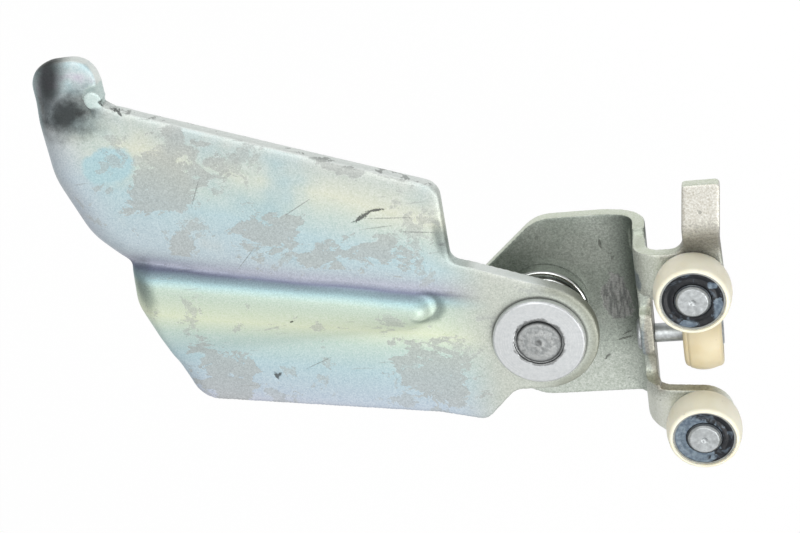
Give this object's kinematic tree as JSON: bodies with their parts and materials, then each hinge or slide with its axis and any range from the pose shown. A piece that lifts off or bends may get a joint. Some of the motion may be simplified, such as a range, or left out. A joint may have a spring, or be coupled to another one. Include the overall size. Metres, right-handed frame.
{
  "type": "sliding door roller guide",
  "caption": "Pressed arm that bolts to a sliding door, with a swivelling folded carriage whose upright guide rollers and crosswise load roller run in the door's rail.",
  "frame": {"origin": "on the flange face that lies against the door, midway between its bolt holes", "axes": "+X along the arm from the door face to the rollers; +Y along the rail with the carriage straight; +Z out of the arm's front along the swivel pin"},
  "size_m": [0.2012, 0.1441, 0.0498],
  "materials": {
    "arm_zinc": "satin blue passivated zinc",
    "bush_bronze": "sintered",
    "carriage_zinc": "satin zinc",
    "pin_steel": "dull",
    "collar_chrome": "polished",
    "washer_steel": "bright zinc",
    "axle_steel": "satin",
    "race_steel": "ground",
    "ball_steel": "polished",
    "cage_nylon": "moulded",
    "seal_rubber": "black with grease",
    "guide_nylon": "satin cream nylon",
    "load_nylon": "satin amber nylon"
  },
  "bodies": {
    "arm": {"door_arm": "arm_zinc", "pivot_bush": "bush_bronze"},
    "carriage": {"carriage_bracket": "carriage_zinc", "pivot_pin": "pin_steel", "pivot_collar": "collar_chrome", "pivot_washer": "washer_steel", "upper_guide_axle": "axle_steel", "upper_guide_inner_race": "race_steel", "lower_guide_axle": "axle_steel", "lower_guide_inner_race": "race_steel", "load_roller_axle": "axle_steel", "load_roller_inner_race": "race_steel"},
    "upper_guide_ring": {"upper_guide_tread": "guide_nylon", "upper_guide_outer_race": "race_steel", "upper_guide_front_seal": "seal_rubber", "upper_guide_rear_seal": "seal_rubber"},
    "upper_guide_bearing": {"upper_guide_balls": "ball_steel", "upper_guide_cage": "cage_nylon"},
    "lower_guide_ring": {"lower_guide_tread": "guide_nylon", "lower_guide_outer_race": "race_steel", "lower_guide_front_seal": "seal_rubber", "lower_guide_rear_seal": "seal_rubber"},
    "lower_guide_bearing": {"lower_guide_balls": "ball_steel", "lower_guide_cage": "cage_nylon"},
    "load_roller_ring": {"load_roller_tread": "load_nylon", "load_roller_outer_race": "race_steel", "load_roller_front_seal": "seal_rubber", "load_roller_rear_seal": "seal_rubber"},
    "load_roller_bearing": {"load_roller_balls": "ball_steel", "load_roller_cage": "cage_nylon"}
  },
  "joints": [
    {"name": "carriage_pivot", "type": "hinge", "parent": "arm", "child": "carriage", "pos_m": [0.1435, -0.074, 0.02], "axis": [0, 0, 1], "range_deg": [-45, 45]},
    {"name": "upper_guide_spin", "type": "hinge", "parent": "carriage", "child": "upper_guide_ring", "pos_m": [0.1899, -0.059, 0.0295], "axis": [0, 0, 1], "continuous": true},
    {"name": "upper_guide_bearing_turn", "type": "hinge", "parent": "carriage", "child": "upper_guide_bearing", "pos_m": [0.1899, -0.059, 0.0295], "axis": [0, 0, 1], "continuous": true},
    {"name": "lower_guide_spin", "type": "hinge", "parent": "carriage", "child": "lower_guide_ring", "pos_m": [0.1899, -0.1059, 0.0295], "axis": [0, 0, 1], "continuous": true},
    {"name": "lower_guide_bearing_turn", "type": "hinge", "parent": "carriage", "child": "lower_guide_bearing", "pos_m": [0.1899, -0.1059, 0.0295], "axis": [0, 0, 1], "continuous": true},
    {"name": "load_roller_spin", "type": "hinge", "parent": "carriage", "child": "load_roller_ring", "pos_m": [0.1914, -0.0814, 0.0127], "axis": [1, 0, 0], "continuous": true},
    {"name": "load_roller_bearing_turn", "type": "hinge", "parent": "carriage", "child": "load_roller_bearing", "pos_m": [0.1914, -0.0814, 0.0127], "axis": [1, 0, 0], "continuous": true}
  ],
  "couplings": [
    {"joint": "upper_guide_bearing_turn", "follows": "upper_guide_spin", "ratio": 0.6348},
    {"joint": "lower_guide_bearing_turn", "follows": "lower_guide_spin", "ratio": 0.6348},
    {"joint": "load_roller_bearing_turn", "follows": "load_roller_spin", "ratio": 0.6348}
  ]
}
